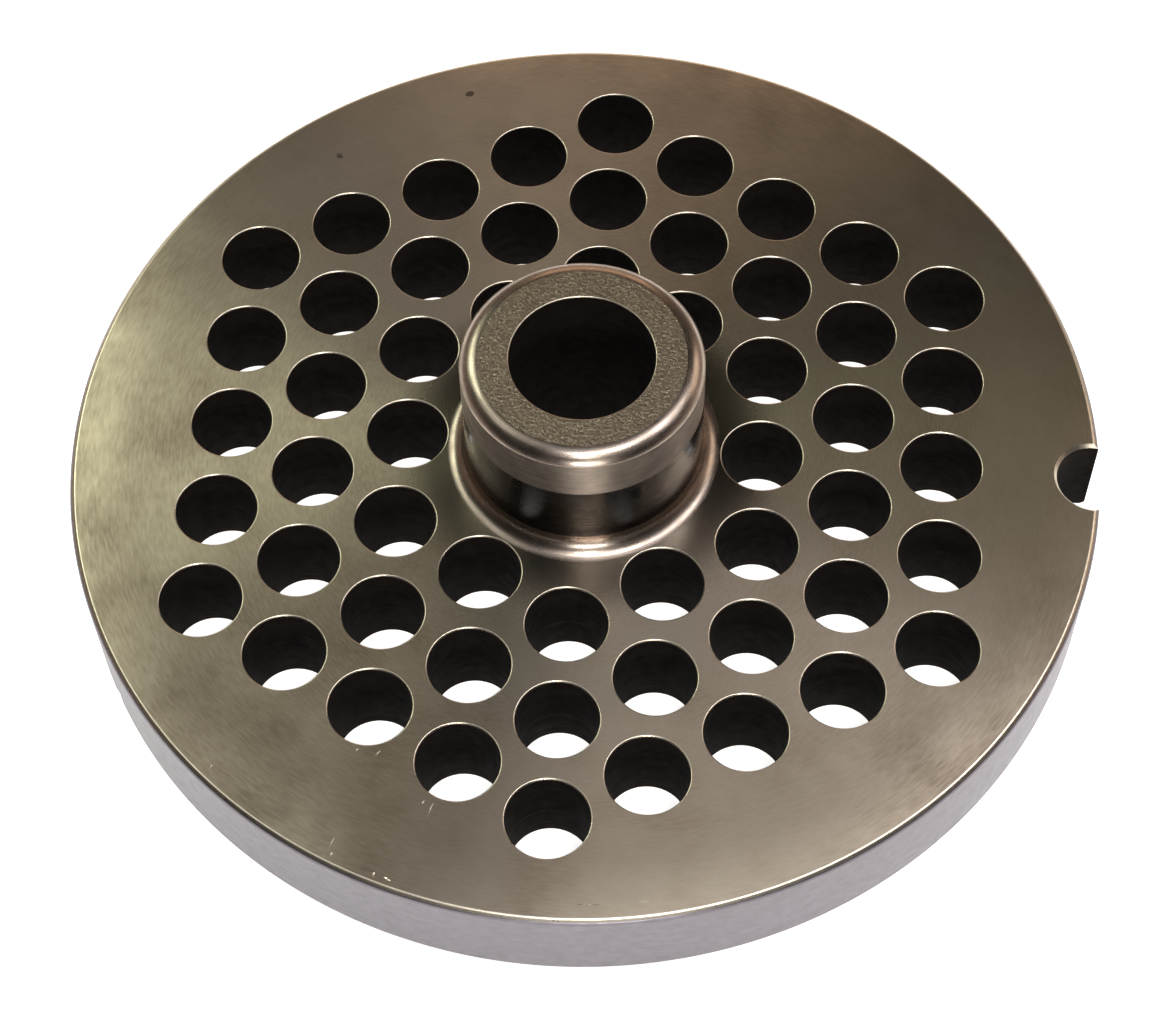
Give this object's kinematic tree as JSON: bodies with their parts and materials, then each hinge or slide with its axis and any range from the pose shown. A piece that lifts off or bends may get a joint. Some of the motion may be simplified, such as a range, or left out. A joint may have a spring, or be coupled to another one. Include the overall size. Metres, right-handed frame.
{
  "type": "meat grinder plate",
  "caption": "Thick round perforated steel plate with a bored central hub and a key notch in its rim, for a meat grinder.",
  "frame": {"origin": "on the axis of the bore, in the flat cutting face on the side away from the hub", "axes": "+Z along the bore and up the hub; +X through the middle of the key notch in the rim; a side of the hexagonal hole field faces +X"},
  "size_m": [0.0999, 0.1, 0.0257],
  "materials": {
    "ground_steel": "hardened tool steel, faces ground and lapped in fine concentric marks, hub turned, rim ground bright"
  },
  "bodies": {
    "root": {"grinder_plate": "ground_steel"}
  },
  "joints": []
}
